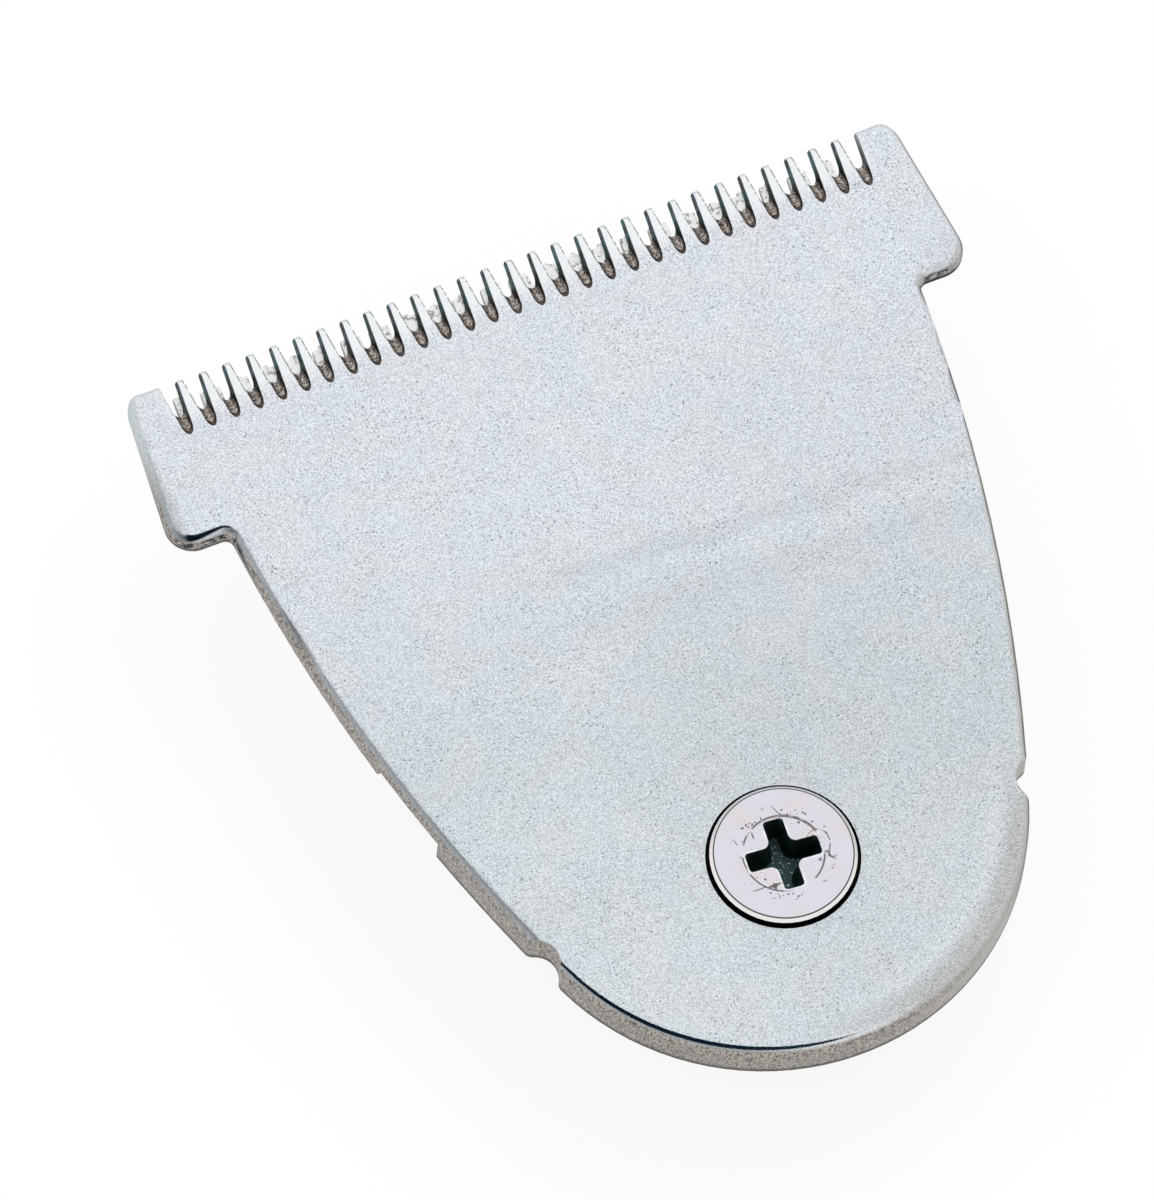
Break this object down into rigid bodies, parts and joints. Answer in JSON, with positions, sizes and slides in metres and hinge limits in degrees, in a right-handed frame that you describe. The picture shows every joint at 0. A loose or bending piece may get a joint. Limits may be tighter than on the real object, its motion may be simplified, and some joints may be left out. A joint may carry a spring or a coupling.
{
  "type": "hair clipper blade",
  "caption": "Detachable trimmer blade set: a T-shaped steel comb plate with ground teeth, a cutter sliding behind it, and a screwed-on moulded carrier with a wire pressure spring.",
  "frame": {"origin": "on the carrier's rim, the surface that the blade set rests on, under the middle of the comb plate's box", "axes": "+X along the row of teeth, +Y towards the tooth tips, +Z out of the comb plate's outer face"},
  "size_m": [0.0334, 0.0353, 0.0077],
  "materials": {
    "plate_steel": "tumbled satin stainless steel",
    "cutter_steel": "ground steel",
    "driver_plastic": "natural moulded acetal",
    "spring_steel": "drawn spring wire",
    "carrier_plastic": "fine-textured black moulding",
    "screw_nickel": "nickel plate",
    "insert_brass": "turned brass"
  },
  "bodies": {
    "frame": {"comb_plate": "plate_steel", "blade_carrier": "carrier_plastic", "pressure_spring": "spring_steel", "clamp_screw": "screw_nickel", "threaded_insert": "insert_brass"},
    "cutter": {"cutter": "cutter_steel", "cutter_driver": "driver_plastic"}
  },
  "joints": [
    {"name": "cutter_stroke", "type": "slide", "parent": "frame", "child": "cutter", "axis": [1, 0, 0], "range_m": [-0.00065, 0.00155]}
  ]
}
